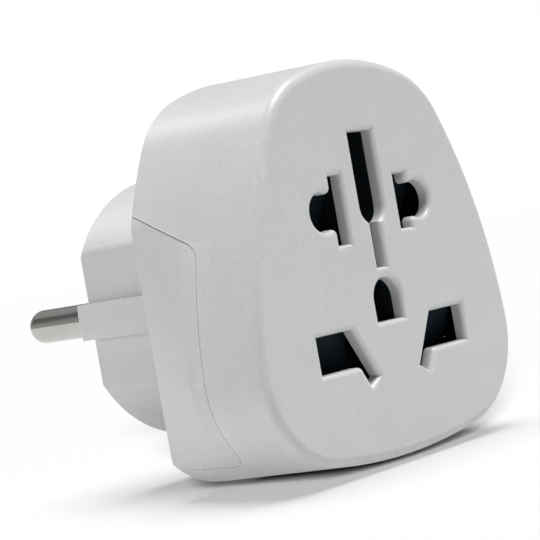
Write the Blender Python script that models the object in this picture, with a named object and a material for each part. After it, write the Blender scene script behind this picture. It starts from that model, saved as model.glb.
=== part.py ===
"""Universal travel adapter: a multi-standard socket face on a round two-pin plug with side earth clips.

Local frame of every dimension below, in millimetres: x to the right seen from the socket side,
y from the socket face towards the plug, z up from the line through the round socket holes.
The empty "adapter_origin" carries the parts, so that world z = 0 is the lowest point of the housing.
"""
import math

import bmesh
import bpy

for leftover in list(bpy.data.objects):
    bpy.data.objects.remove(leftover, do_unlink=True)

MM = 0.001

# Housing outline: tangent arcs from the top, (radius, degrees turned); the bottom arc closes it.
OUTLINE_TOP = 18.8
TOP_ARC = (31.0, 20.5)
SHOULDER_ARC = (11.9, 41.4)
SIDE_ARC = (67.7, 25.7)
CORNER_ARC = (12.5, 82.9)
ARC_STEPS = (3, 6, 5, 8, 2)

BODY_DEPTH = 21.3        # face to rear rim
FLARE = 1.0              # the outline grows this much from face to rim
EDGE_R = 1.2             # rounding of the face edge
RIM_CHAMFER = 0.4
WALL = 1.8
GAP = 0.3                # between neighbouring pieces
OUTSIDE = 40.0           # a distance beyond the whole housing, for cutters

# Side cheeks of the rear housing, seen from the side in y and z
CHEEK_FRONT = 9.5
CHEEK_TOP_FRONT = -1.65
CHEEK_TOP_REAR = 4.35
CHEEK_BOTTOM = -28.9
CHEEK_TOP_CORNER_R = 2.8
CHEEK_BOTTOM_CORNER_R = 2.6
FACET_FRONT = 11.9       # behind this line the cheeks taper
CHEEK_HALF_REAR = 22.2   # half width of the cheeks at the rear rim
CHEEK_HOLLOW_REAR = 19.5

# Plug
PLUG_Z = -8.7
PLUG_END = 38.9
PLUG_R = 18.1
PLUG_FLAT = 15.85
RIB_WIDTH = 4.8
PLUG_WALL = 1.9
PLUG_END_WALL = 2.0
PLUG_EDGE = 0.35         # length of the bevel at the plug's end
PLUG_END_SCALE = 0.982   # size of the end face against the plug's section
PLUG_ROOM_HALF = 14.3    # half height of the space inside the plug, below the clip beds
PLATE_FRONT = 19.3
PLATE_REAR = 21.1
SLEEVE_R = 4.1           # sleeves that hold the pins inside the plug
SLEEVE_FRONT = 29.0
PIN_PLAY = 0.15
PIN_X = 9.5
PIN_R = 2.4
PIN_LENGTH = 19.0
PIN_TIP_R = 1.9
PIN_NECK_R = 1.4
PIN_COLLAR_R = 3.0
RIVETED_END_R = 2.1

# Socket openings
EARTH_HALF = 2.32
EARTH_TOP = 9.55
BLADE_EARTH_HALF = 0.93
BLADE_EARTH_BOTTOM = -7.95
ROUND_X = 9.5
ROUND_R = 2.43
JOIN_R = 0.8             # rounded corners where a round hole runs into its blade slot
BLADE_INNER = 5.28
BLADE_OUTER = 7.54
TALL_BLADE_HALF = 4.37
SHORT_BLADE_HALF = 3.57
ARCH_HALF = 2.65
ARCH_CENTRE = -11.95
ARCH_BOTTOM = -14.78
BAR_OUTER = 14.8
BAR_INNER = 8.0
BAR_TOP = -14.8
BAR_BOTTOM = -19.53
TAIL_TIP = -21.2         # height of the slanted tail's inner corner
TAIL_WIDTH = 1.95
TAIL_SLANT = math.radians(30)
TAIL_KNEE_R = 0.8
MOUTH_CHAMFER = 0.6

# Shutters
SHUTTER_FRONT = 2.1
SHUTTER_T = 1.4
UPPER_TOP = 5.1
UPPER_SLOPE = 0.5
LOWER_TOP = -14.4
LOWER_WING_BOTTOM = -23.3
LOWER_SLOPE = 0.56

# Guide walls beside the shutters: inner and outer x, bottom and top z
UPPER_GUIDE = (15.5, 16.2, -5.4, 6.0)
LOWER_GUIDE = (19.0, 19.7, -21.6, -6.0)

# Contacts, in layers of y
CARRIER_FRONT = 9.2
CARRIER_REAR = 16.0
BASE_LAYER = (16.25, 16.95)
STRIP_LAYER = (17.25, 18.05)
CLIP_FOOT_REAR = 19.05
LEAF_T = 0.6
LEAF_FRONT = 9.9
UPPER_RIVET = (8.7, 0.0)         # x and z of the live side's rivets
LOWER_RIVET = (10.4, -17.1)
EARTH_RIVETS = {"uk": 0.2, "au": -5.5, "us": -12.4}
RIVET_R = 0.8
RIVET_HOLE_R = 1.1
RIVET_HEAD_R = 1.3

# Screws: x, z
SCREWS = {"top": (0.0, 14.3), "left": (-16.5, -25.0), "right": (16.5, -25.0)}
BOSS_R = 2.9
BOSS_REAR = 18.0
PILOT_R = 1.45
PILOT_FRONT = 6.0
SCREW_R = 1.2
SCREW_TIP_R = 0.2
SCREW_TIP = 8.6
SCREW_POINT = 1.6        # length of the pointed end
SCREW_HEAD_R = 2.6
SCREW_HEAD_SEAT = 19.7
SCREW_HEAD_EDGE = 20.5
SCREW_HEAD_TOP = 21.0
SEAT_R = 3.4             # round pads in the plate around each screw
SEAT_FRONT = 18.4
HEAD_RECESS_R = 3.0
HEAD_RECESS_FLOOR = 19.4
SHANK_HOLE_R = 1.6

# Earth clips on the plug; heights are from the plug's axis
CLIP_HALF = 2.1
CLIP_T = 0.7
CLIP_FOOT_Y = 18.7       # the foot stands behind the earth strip
CLIP_FOOT_HEIGHT = 10.9
CLIP_BED_HALF = 2.9
CLIP_BED_HEIGHT = 15.9
CLIP_BED_FRONT = 23.5
CLIP_SLOT_HALF = 2.4
CLIP_SLOT_HEIGHTS = (16.05, 17.35)
CLIP_RIVET_HEIGHT = 4.0  # the top one; the bottom one mirrors it about the plug's axis

# Springs
SPRING_TURNS = 8
SPRING_STEPS_PER_TURN = 9
SPRING_SIDES = 5
DEAD_TURNS = 0.7         # closed turns at each end
UPPER_SPRING = {"x": 13.85, "y": 7.6, "bottom": -3.5, "top": 9.2, "radius": 0.8, "wire": 0.12}
LOWER_SPRING = {"x": 17.3, "y": 5.8, "bottom": -19.4, "top": -7.5, "radius": 0.9, "wire": 0.15}


# ---------------------------------------------------------------- materials

def make_material(name, colour, roughness, metallic=0.0):
    material = bpy.data.materials.new(name)
    material.use_nodes = True
    shader = material.node_tree.nodes["Principled BSDF"]
    shader.inputs["Base Color"].default_value = (*colour, 1.0)
    shader.inputs["Roughness"].default_value = roughness
    shader.inputs["Metallic"].default_value = metallic
    material.diffuse_color = (*colour, 1.0)
    return material


WHITE_PLASTIC = ((0.62, 0.63, 0.625), 0.45, 0.0)
BLACK_PLASTIC = ((0.012, 0.013, 0.014), 0.55, 0.0)
NICKEL = ((0.66, 0.63, 0.58), 0.25, 1.0)
BRASS = ((0.72, 0.52, 0.25), 0.35, 1.0)
BRONZE = ((0.70, 0.47, 0.30), 0.35, 1.0)
STEEL = ((0.58, 0.58, 0.58), 0.35, 1.0)


# ---------------------------------------------------------------- mesh helpers

origin = bpy.data.objects.new("adapter_origin", None)
bpy.context.scene.collection.objects.link(origin)


def add_object(name, shells, look=None, at=(0.0, 0.0, 0.0)):
    """One object of closed shells (points, faces) in millimetres, its own origin at `at`."""
    work = bmesh.new()
    for points, faces in shells:
        corners = [work.verts.new([(p - o) * MM for p, o in zip(point, at)]) for point in points]
        for face in faces:
            work.faces.new([corners[i] for i in face])
    bmesh.ops.recalc_face_normals(work, faces=work.faces)
    mesh = bpy.data.meshes.new(name)
    work.to_mesh(mesh)
    work.free()
    item = bpy.data.objects.new(name, mesh)
    item.location = [o * MM for o in at]
    item.parent = origin
    bpy.context.scene.collection.objects.link(item)
    if look:
        mesh.materials.append(make_material(name, *look))
        mesh.shade_smooth()
        mesh.set_sharp_from_angle(angle=math.radians(30))
    return item


def combine(target, operation, name, shells):
    """Join or cut the target with a hidden helper made of closed shells that don't touch each other."""
    helper = add_object(name, shells)
    helper.hide_render = True
    helper.display_type = "WIRE"
    modifier = target.modifiers.new(name, "BOOLEAN")
    modifier.operation = operation
    modifier.solver = "EXACT"
    modifier.object = helper


def loft(rings):
    """Closed shell through rings of equal point count, with a flat cap at both ends."""
    count = len(rings[0])
    points = [point for ring in rings for point in ring]
    faces = [list(range(count)), list(range(len(points) - count, len(points)))]
    for base in range(0, len(points) - count, count):
        for i in range(count):
            j = (i + 1) % count
            faces.append([base + i, base + j, base + count + j, base + count + i])
    return points, faces


def prism(outline, y0, y1):
    """An (x, z) outline extruded along y."""
    return loft([[(x, y, z) for x, z in outline] for y in (y0, y1)])


def prism_x(outline, x0, x1):
    """A (y, z) outline extruded along x."""
    return loft([[(x, y, z) for y, z in outline] for x in (x0, x1)])


def prism_z(outline, z0, z1):
    """An (x, y) outline extruded along z."""
    return loft([[(x, y, z) for x, y in outline] for z in (z0, z1)])


def box(x0, x1, y0, y1, z0, z1):
    return prism([(x0, z0), (x1, z0), (x1, z1), (x0, z1)], y0, y1)


def turned(profile, steps, x=0.0, z=0.0):
    """Solid of revolution about a line along y through (x, z); the profile is (radius, y) pairs."""
    rings = []
    for radius, y in profile:
        angles = [math.tau * k / steps for k in range(steps)]
        rings.append([(x + radius * math.cos(a), y, z + radius * math.sin(a)) for a in angles])
    return loft(rings)


def arc(cx, cz, radius, start, end, steps):
    """Points on an arc, angles in degrees from +x towards +z."""
    angles = [math.radians(start + (end - start) * k / steps) for k in range(steps + 1)]
    return [(cx + radius * math.cos(a), cz + radius * math.sin(a)) for a in angles]


def rounded(corners, steps=3):
    """Outline from (a, b, radius) corners, each replaced by an arc of that radius."""
    outline = []
    for i, (a, b, radius) in enumerate(corners):
        pa, pb, _ = corners[i - 1]
        na, nb, _ = corners[(i + 1) % len(corners)]
        if not radius:
            outline.append((a, b))
            continue
        to_prev = math.atan2(pb - b, pa - a)
        to_next = math.atan2(nb - b, na - a)
        turn = (to_next - to_prev + math.pi) % math.tau - math.pi
        reach = radius / math.tan(abs(turn) / 2)
        middle = to_prev + turn / 2
        centre_distance = radius / math.sin(abs(turn) / 2)
        ca = a + centre_distance * math.cos(middle)
        cb = b + centre_distance * math.sin(middle)
        first = math.atan2(b + reach * math.sin(to_prev) - cb, a + reach * math.cos(to_prev) - ca)
        last = math.atan2(b + reach * math.sin(to_next) - cb, a + reach * math.cos(to_next) - ca)
        sweep = (last - first + math.pi) % math.tau - math.pi
        for k in range(steps + 1):
            angle = first + sweep * k / steps
            outline.append((ca + radius * math.cos(angle), cb + radius * math.sin(angle)))
    return outline


def mirrored(outline):
    return [(-x, z) for x, z in reversed(outline)]


def grown(outline, distance):
    """The outline moved outwards by a small distance, by the mean normal at each point."""
    area = sum(a[0] * b[1] - b[0] * a[1] for a, b in zip(outline, outline[1:] + outline[:1]))
    side = 1 if area > 0 else -1
    result = []
    for i, (x, z) in enumerate(outline):
        px, pz = outline[i - 1]
        nx, nz = outline[(i + 1) % len(outline)]
        before = math.atan2(z - pz, x - px)
        after = math.atan2(nz - z, nx - x)
        half_turn = ((after - before + math.pi) % math.tau - math.pi) / 2
        normal = before + half_turn - side * math.pi / 2
        length = distance / math.cos(half_turn)
        result.append((x + length * math.cos(normal), z + length * math.sin(normal)))
    return result


# ---------------------------------------------------------------- shared outlines

def housing_outline(offset, half_limit=None):
    """The housing's outline moved outwards by offset, clockwise from the top; (x, z) points."""
    half = []
    x, z, heading = 0.0, OUTLINE_TOP, 0.0
    arcs = [TOP_ARC, SHOULDER_ARC, SIDE_ARC, CORNER_ARC]
    last_turn = 180 - sum(turn for _, turn in arcs)
    for steps, (radius, turn) in zip(ARC_STEPS, arcs + [(None, last_turn)]):
        end = heading + math.radians(turn)
        if radius is None:
            radius = x / math.sin(math.radians(turn))
        cx, cz = x - radius * math.sin(heading), z - radius * math.cos(heading)
        for k in range(steps):
            angle = heading + (end - heading) * k / steps
            reach = radius + offset
            half.append((cx + reach * math.sin(angle), cz + reach * math.cos(angle)))
        x, z, heading = cx + radius * math.sin(end), cz + radius * math.cos(end), end
    bottom = (0.0, z - offset)
    if half_limit:
        half = [(min(px, half_limit), pz) for px, pz in half]
    return half + [bottom] + [(-px, pz) for px, pz in reversed(half[1:])]


def body_ring(y, inset, half_limit=None):
    outline = housing_outline(FLARE * y / BODY_DEPTH - inset, half_limit)
    return [(x, y, z) for x, z in outline]


def cheek_window(gap):
    """Side view of the cheek, as (y, z) points, shrunk by gap."""
    rear = BODY_DEPTH + 1.0
    top_slope = (CHEEK_TOP_REAR - CHEEK_TOP_FRONT) / (rear - CHEEK_FRONT)
    drop = gap * math.hypot(1.0, top_slope)
    front = CHEEK_FRONT + gap
    corners = [
        (front, CHEEK_TOP_FRONT + top_slope * gap - drop, CHEEK_TOP_CORNER_R),
        (front, CHEEK_BOTTOM + gap, CHEEK_BOTTOM_CORNER_R),
        (rear, CHEEK_BOTTOM + gap, 0.0),
        (rear, CHEEK_TOP_REAR - drop, 0.0),
    ]
    return rounded(corners, steps=4)


def earth_slot():
    """Tall slot with a half-round foot that runs on into a narrow blade slot."""
    meet = math.degrees(math.asin(math.sqrt(1 - (BLADE_EARTH_HALF / EARTH_HALF) ** 2)))
    right = arc(0.0, 0.0, EARTH_HALF, 0, -meet, 4)
    foot = [(BLADE_EARTH_HALF, BLADE_EARTH_BOTTOM)]
    half = [(EARTH_HALF, EARTH_TOP)] + right + foot
    return half + mirrored(half)


def round_and_blade(blade_half):
    """Round hole at +x joined to an upright blade slot on its inner side."""
    join_x = BLADE_OUTER + JOIN_R
    join_z = math.sqrt((ROUND_R + JOIN_R) ** 2 - (ROUND_X - join_x) ** 2)
    join = math.degrees(math.atan2(join_z, join_x - ROUND_X))
    hole = arc(ROUND_X, 0.0, ROUND_R, -join, join, 14)
    upper_join = arc(join_x, join_z, JOIN_R, 180 + join, 180, 4)
    lower_join = arc(join_x, -join_z, JOIN_R, 180, 180 - join, 4)
    blade = [
        (BLADE_OUTER, blade_half),
        (BLADE_INNER, blade_half),
        (BLADE_INNER, -blade_half),
        (BLADE_OUTER, -blade_half),
    ]
    return hole + upper_join[1:] + blade + lower_join[:-1]


def arch():
    top = arc(0.0, ARCH_CENTRE, ARCH_HALF, 0, 180, 10)
    return top + [(-ARCH_HALF, ARCH_BOTTOM), (ARCH_HALF, ARCH_BOTTOM)]


def bar_with_tail():
    """Rectangular slot at +x whose inner end runs on into a slanted blade slot."""
    drop = math.tan(TAIL_SLANT)
    tip_x = BAR_INNER - drop * (BAR_TOP - TAIL_TIP)
    end_x = tip_x + TAIL_WIDTH * math.cos(TAIL_SLANT)
    end_z = TAIL_TIP - TAIL_WIDTH * math.sin(TAIL_SLANT)
    inner_corner = end_x + drop * (BAR_BOTTOM - end_z)
    corners = [
        (BAR_INNER, BAR_TOP, 0.0),
        (tip_x, TAIL_TIP, 0.0),
        (end_x, end_z, 0.0),
        (inner_corner, BAR_BOTTOM, TAIL_KNEE_R),
        (BAR_OUTER, BAR_BOTTOM, 0.0),
        (BAR_OUTER, BAR_TOP, 0.0),
    ]
    return rounded(corners)


def socket_openings():
    return [
        earth_slot(),
        mirrored(round_and_blade(TALL_BLADE_HALF)),
        round_and_blade(SHORT_BLADE_HALF),
        arch(),
        mirrored(bar_with_tail()),
        bar_with_tail(),
    ]


def plug_outline(steps=6):
    """Plug section: a circle cut by two flats, each with a guide rib that reaches the circle."""
    flat_angle = math.degrees(math.acos(PLUG_FLAT / PLUG_R))
    rib_angle = math.degrees(math.asin(RIB_WIDTH / 2 / PLUG_R))
    half_rib = RIB_WIDTH / 2
    upper = arc(0.0, PLUG_Z, PLUG_R, flat_angle, 180 - flat_angle, steps * 3)
    lower = arc(0.0, PLUG_Z, PLUG_R, 180 + flat_angle, 360 - flat_angle, steps * 3)
    left_rib = [(-PLUG_FLAT, PLUG_Z + half_rib)]
    left_rib += arc(0.0, PLUG_Z, PLUG_R, 180 - rib_angle, 180 + rib_angle, 2)
    left_rib += [(-PLUG_FLAT, PLUG_Z - half_rib)]
    right_rib = [(PLUG_FLAT, PLUG_Z - half_rib)]
    right_rib += arc(0.0, PLUG_Z, PLUG_R, -rib_angle, rib_angle, 2)
    right_rib += [(PLUG_FLAT, PLUG_Z + half_rib)]
    return upper + left_rib + lower + right_rib


# ---------------------------------------------------------------- housing

def build_front_housing():
    rings = []
    for k in range(4):
        angle = math.radians(90 * k / 3)
        rings.append(body_ring(EDGE_R * (1 - math.cos(angle)), EDGE_R * (1 - math.sin(angle))))
    rings.append(body_ring(BODY_DEPTH - RIM_CHAMFER, 0.0))
    rings.append(body_ring(BODY_DEPTH, RIM_CHAMFER))
    housing = add_object("front_housing", [loft(rings)], WHITE_PLASTIC)

    cavity = loft([body_ring(WALL, WALL), body_ring(BODY_DEPTH + 1.0, WALL)])
    combine(housing, "DIFFERENCE", "front_cavity", [cavity])
    combine(housing, "DIFFERENCE", "cheek_notches", [prism_x(cheek_window(0.0), -OUTSIDE, OUTSIDE)])

    root = WALL - 0.8
    bosses = [turned([(BOSS_R, root), (BOSS_R, BOSS_REAR)], 14, x, z) for x, z in SCREWS.values()]
    combine(housing, "UNION", "front_bosses", bosses)

    pilot = [(PILOT_R, PILOT_FRONT), (PILOT_R, BODY_DEPTH)]
    cuts = [turned(pilot, 10, x, z) for x, z in SCREWS.values()]
    for outline in socket_openings():
        mouth = grown(outline, MOUTH_CHAMFER)
        front = [(x, -MOUTH_CHAMFER, z) for x, z in mouth]
        face = [(x, 0.0, z) for x, z in mouth]
        throat = [(x, MOUTH_CHAMFER, z) for x, z in outline]
        back = [(x, WALL + 0.2, z) for x, z in outline]
        cuts.append(loft([front, face, throat, back]))
    combine(housing, "DIFFERENCE", "front_openings", cuts)


def earth_clip_z(side, height):
    """Height of a point of the earth clips: side is +1 at the top and -1 at the bottom."""
    return PLUG_Z + side * height


def build_rear_housing():
    rings = [
        body_ring(CHEEK_FRONT - 1.0, 0.0),
        body_ring(FACET_FRONT, 0.0),
        body_ring(BODY_DEPTH, 0.0, CHEEK_HALF_REAR),
    ]
    housing = add_object("rear_housing", [loft(rings)], WHITE_PLASTIC)
    combine(housing, "INTERSECT", "cheek_blocks", [prism_x(cheek_window(GAP), -OUTSIDE, OUTSIDE)])

    hollow = loft([
        body_ring(CHEEK_FRONT - 2.0, WALL),
        body_ring(FACET_FRONT, WALL),
        body_ring(CHEEK_HOLLOW_REAR, WALL, CHEEK_HALF_REAR - WALL),
    ])
    combine(housing, "DIFFERENCE", "cheek_hollow", [hollow])

    inset = WALL + GAP
    plate_half = CHEEK_HALF_REAR - WALL - 0.1
    plate = loft([body_ring(PLATE_FRONT, inset, plate_half), body_ring(PLATE_REAR, inset, plate_half)])
    combine(housing, "UNION", "rear_plate", [plate])

    section = plug_outline()
    end_section = [(x * PLUG_END_SCALE, PLUG_Z + (z - PLUG_Z) * PLUG_END_SCALE) for x, z in section]
    plug = loft([
        [(x, PLATE_REAR - 0.9, z) for x, z in section],
        [(x, PLUG_END - PLUG_EDGE, z) for x, z in section],
        [(x, PLUG_END, z) for x, z in end_section],
    ])
    pad = [(SEAT_R, SEAT_FRONT), (SEAT_R, PLATE_FRONT + 1.1)]
    seats = [turned(pad, 14, x, z) for x, z in SCREWS.values()]
    combine(housing, "UNION", "plug_body", [plug] + seats)

    flat = PLUG_FLAT - PLUG_WALL
    circle = arc(0.0, 0.0, PLUG_R - PLUG_WALL, 0, 360 * 31 / 32, 31)
    room = [
        (max(-flat, min(flat, x)), PLUG_Z + max(-PLUG_ROOM_HALF, min(PLUG_ROOM_HALF, z)))
        for x, z in circle
    ]
    combine(housing, "DIFFERENCE", "plug_hollow", [prism(room, SEAT_FRONT - 0.4, PLUG_END - PLUG_END_WALL)])

    sleeve = [(SLEEVE_R, SLEEVE_FRONT), (SLEEVE_R, PLUG_END - 1.0)]
    sleeves = [turned(sleeve, 16, side * PIN_X, PLUG_Z) for side in (-1, 1)]
    combine(housing, "UNION", "pin_sleeves", sleeves)

    pin_bore = [(PIN_R + PIN_PLAY, SLEEVE_FRONT - 1.0), (PIN_R + PIN_PLAY, PLUG_END + 1.0)]
    screw_hole = [
        (SHANK_HOLE_R, SEAT_FRONT - 0.9),
        (SHANK_HOLE_R, HEAD_RECESS_FLOOR),
        (HEAD_RECESS_R, HEAD_RECESS_FLOOR),
        (HEAD_RECESS_R, PLATE_REAR + 1.0),
    ]
    cuts = [turned(screw_hole, 16, x, z) for x, z in SCREWS.values()]
    slots = []
    for side in (-1, 1):
        cuts.append(turned(pin_bore, 24, side * PIN_X, PLUG_Z))
        bed = sorted(earth_clip_z(side, height) for height in (CLIP_BED_HEIGHT, PLUG_R + 2.0))
        cuts.append(box(-CLIP_BED_HALF, CLIP_BED_HALF, CLIP_BED_FRONT, PLUG_END + 1.0, *bed))
        slot = sorted(earth_clip_z(side, height) for height in CLIP_SLOT_HEIGHTS)
        slots.append(box(-CLIP_SLOT_HALF, CLIP_SLOT_HALF, SEAT_FRONT - 0.4, CLIP_BED_FRONT + 0.5, *slot))
    combine(housing, "DIFFERENCE", "rear_openings", cuts)
    combine(housing, "DIFFERENCE", "clip_slots", slots)


def build_screws():
    profile = [
        (SCREW_TIP_R, SCREW_TIP),
        (SCREW_R, SCREW_TIP + SCREW_POINT),
        (SCREW_R, SCREW_HEAD_SEAT),
        (SCREW_HEAD_R, SCREW_HEAD_SEAT),
        (SCREW_HEAD_R, SCREW_HEAD_EDGE),
        (SCREW_HEAD_R - 0.6, SCREW_HEAD_TOP),
    ]
    for place, (x, z) in SCREWS.items():
        seat = (x, SCREW_HEAD_SEAT, z)
        add_object(f"housing_screw_{place}", [turned(profile, 14, x, z)], STEEL, at=seat)


# ---------------------------------------------------------------- contact carrier

def build_contact_carrier():
    """Black moulding: a block with contact pockets and the guide column of the earth openings."""
    half_width, low = LOWER_GUIDE[1:3]
    half_block = [(14.4, 10.9), (half_width, -2.0), (half_width, low), (13.0, low), (13.0, -23.8)]
    block = half_block + mirrored(half_block)
    carrier = add_object("contact_carrier", [prism(block, CARRIER_FRONT, CARRIER_REAR)], BLACK_PLASTIC)

    column = [
        (-4.3, 10.4), (4.3, 10.4), (4.3, -5.3), (3.45, -5.3),
        (3.45, -15.3), (-3.45, -15.3), (-3.45, -5.3), (-4.3, -5.3),
    ]
    raised = [prism(column, SHUTTER_FRONT, CARRIER_FRONT + 0.8)]
    for side in (-1, 1):
        upper_stop = sorted((side * 12.7, side * 15.0))
        lower_stop = sorted((side * 15.9, side * 18.7))
        raised.append(box(*upper_stop, 6.4, CARRIER_FRONT + 0.7, 9.5, 10.6))
        raised.append(box(*lower_stop, 4.4, CARRIER_FRONT + 0.7, -7.2, -6.0))
        for inner, outer, bottom, top in (UPPER_GUIDE, LOWER_GUIDE):
            guide = sorted((side * inner, side * outer))
            raised.append(box(*guide, SHUTTER_FRONT, CARRIER_FRONT + 0.7, bottom, top))
    combine(carrier, "UNION", "carrier_column", raised)

    line_pocket = [
        (15.4, -13.9), (15.4, -20.3), (8.7, -20.3), (6.5, -23.3), (3.7, -21.6), (5.6, -17.5), (5.6, -13.9),
    ]
    round_pocket = [(4.9, 5.2), (13.1, 5.2), (13.1, -5.2), (4.9, -5.2)]
    passages = [prism(grown(earth_slot(), 0.1), 0.0, 12.0), prism(grown(arch(), 0.1), 0.0, 12.0)]
    combine(carrier, "DIFFERENCE", "earth_passages", passages)
    pockets = [
        box(-3.5, 3.5, 9.6, 18.0, -1.6, 9.9),
        box(-2.3, 2.3, 9.6, 18.0, -8.7, -2.4),
        box(-3.55, 3.55, 9.6, 18.0, -15.1, -9.6),
    ]
    for outline in (line_pocket, round_pocket):
        pockets.append(prism(outline, 8.0, 18.0))
        pockets.append(prism(mirrored(outline), 8.0, 18.0))
    combine(carrier, "DIFFERENCE", "contact_pockets", pockets)


# ---------------------------------------------------------------- shutters and springs

def add_shutter(name, outline, creases, slope_top, slope_bottom, slope, at):
    """A plate whose face leans back below slope_top, so that an incoming pin lifts it."""
    shutter = add_object(name, [prism(outline, SHUTTER_FRONT, SHUTTER_FRONT + SHUTTER_T)], BLACK_PLASTIC, at)
    work = bmesh.new()
    work.from_mesh(shutter.data)
    for z in creases:
        geometry = work.verts[:] + work.edges[:] + work.faces[:]
        level = (z - at[2]) * MM
        bmesh.ops.bisect_plane(work, geom=geometry, plane_co=(0, 0, level), plane_no=(0, 0, 1))
    for vertex in work.verts:
        height = vertex.co.z / MM + at[2]
        below = slope_top - max(height, slope_bottom)
        vertex.co.y += slope * below * MM
    work.to_mesh(shutter.data)
    work.free()


def build_upper_shutters():
    """One shutter behind each round hole and its blade slot, each lifted by its own pin."""
    outline = [
        (4.75, UPPER_TOP), (8.2, UPPER_TOP), (10.2, 2.9), (12.35, 2.9), (12.35, -3.8),
        (15.2, -3.8), (15.2, -UPPER_TOP), (4.75, -UPPER_TOP),
    ]
    at_right = (8.5, SHUTTER_FRONT, 0.0)
    at_left = (-8.5, SHUTTER_FRONT, 0.0)
    limits = (UPPER_TOP, -UPPER_TOP, UPPER_SLOPE)
    add_shutter("upper_shutter_right", outline, [], *limits, at_right)
    add_shutter("upper_shutter_left", mirrored(outline), [], *limits, at_left)


def build_lower_shutter():
    """One shutter behind both bar slots; its two wings are joined by a bridge below the openings."""
    half = [
        (7.2, LOWER_TOP), (15.6, LOWER_TOP), (15.6, -19.7), (18.7, -19.7), (18.7, -21.2), (15.0, -21.2),
        (14.4, -20.2), (8.6, -20.2), (6.6, LOWER_WING_BOTTOM), (5.0, LOWER_WING_BOTTOM), (5.0, -27.0),
    ]
    inner = [(3.75, -24.4), (3.75, -20.4)]
    outline = half + mirrored(half) + [(-x, z) for x, z in reversed(inner)] + inner
    at = (0.0, SHUTTER_FRONT, -18.0)
    limits = (LOWER_TOP, LOWER_WING_BOTTOM, LOWER_SLOPE)
    add_shutter("lower_shutter", outline, [LOWER_WING_BOTTOM], *limits, at)


def add_coil(name, x, y, bottom, top, radius, wire):
    """Compression spring standing along z, its ends wound flat."""
    steps = SPRING_TURNS * SPRING_STEPS_PER_TURN
    closed_rise = 2.1 * wire
    open_rise = top - bottom - 2 * wire - closed_rise
    rings = []
    for k in range(steps + 1):
        turn = k / SPRING_STEPS_PER_TURN
        open_share = (turn - DEAD_TURNS) / (SPRING_TURNS - 2 * DEAD_TURNS)
        closed = min(turn, DEAD_TURNS) + max(turn - SPRING_TURNS + DEAD_TURNS, 0.0)
        level = bottom + wire + closed_rise * closed / (2 * DEAD_TURNS)
        level += open_rise * min(max(open_share, 0.0), 1.0)
        angle = math.tau * turn
        ring = []
        for side in range(SPRING_SIDES):
            around = math.tau * side / SPRING_SIDES
            reach = radius + wire * math.cos(around)
            height = level + wire * math.sin(around)
            ring.append((x + reach * math.cos(angle), y + reach * math.sin(angle), height))
        rings.append(ring)
    add_object(name, [loft(rings)], STEEL, at=(x, y, top))


def build_springs():
    for level, spring in (("upper", UPPER_SPRING), ("lower", LOWER_SPRING)):
        for place, side in (("left", -1), ("right", 1)):
            add_coil(f"{level}_spring_{place}", **{**spring, "x": side * spring["x"]})


# ---------------------------------------------------------------- current path

def build_pins():
    tip = PLUG_END + PIN_LENGTH
    profile = [
        (RIVETED_END_R, 16.35), (RIVETED_END_R, 16.95), (PIN_NECK_R, 16.95), (PIN_NECK_R, 18.35),
        (PIN_COLLAR_R, 18.35), (PIN_COLLAR_R, 19.6), (PIN_R, 19.6),
    ]
    for k in range(5):
        angle = math.radians(78 * k / 4)
        radius = PIN_R - PIN_TIP_R * (1 - math.cos(angle))
        profile.append((radius, tip - PIN_TIP_R * (1 - math.sin(angle))))
    profile.append((0.3, tip))
    for name, side in (("neutral_pin", -1), ("live_pin", 1)):
        x = side * PIN_X
        add_object(name, [turned(profile, 24, x, PLUG_Z)], NICKEL, at=(x, PLUG_END, PLUG_Z))


def drill(target, name, places, radius, y0, y1):
    combine(target, "DIFFERENCE", name, [turned([(radius, y0), (radius, y1)], 12, x, z) for x, z in places])


def clip_profile(half_gap, pinch, rear, front):
    """Fork section as (across, y) points: a base with two sprung leaves that lean in to the pin."""
    bend = front + 2.2
    outer = [
        (half_gap + LEAF_T, rear),
        (half_gap + LEAF_T, rear - 2.0),
        (pinch + LEAF_T, bend),
        (half_gap + 0.3, front),
    ]
    inner = [
        (half_gap + 0.3 - LEAF_T, front), (pinch, bend), (half_gap, rear - 2.0), (half_gap, rear - 0.7),
    ]
    side = outer + inner
    return side + [(-a, b) for a, b in reversed(side)]


def build_line_contacts():
    """Per pole: a strip from the plug pin to an upper and a lower sprung fork, riveted to it."""
    rear = BASE_LAYER[1]
    for pole, side in (("neutral", -1), ("live", 1)):
        strip_ends = sorted((side * 7.0, side * 12.0))
        strip = add_object(f"{pole}_strip", [box(*strip_ends, *STRIP_LAYER, -19.6, 2.6)], BRASS)
        upper_rivet = (side * UPPER_RIVET[0], UPPER_RIVET[1])
        lower_rivet = (side * LOWER_RIVET[0], LOWER_RIVET[1])
        drill(strip, f"{pole}_strip_holes", [upper_rivet, lower_rivet], RIVET_HOLE_R, 16.0, 19.0)
        drill(strip, f"{pole}_pin_hole", [(side * PIN_X, PLUG_Z)], 1.7, 16.0, 19.0)

        middle = side * 8.9
        fork = [(middle + a, y) for a, y in clip_profile(3.1, 2.6, rear, LEAF_FRONT)]
        upper = add_object(f"{pole}_upper_contact", [prism_z(fork, -3.2, 3.2)], BRONZE)
        drill(upper, f"{pole}_upper_hole", [upper_rivet], RIVET_HOLE_R, 15.0, 18.0)

        fork = [(y, lower_rivet[1] + a) for a, y in clip_profile(2.1, 1.7, rear, LEAF_FRONT)]
        ends = sorted((side * 8.9, side * 14.4))
        lower = add_object(f"{pole}_lower_contact", [prism_x(fork, *ends)], BRONZE)
        drill(lower, f"{pole}_lower_hole", [lower_rivet], RIVET_HOLE_R, 15.0, 18.0)


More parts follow.
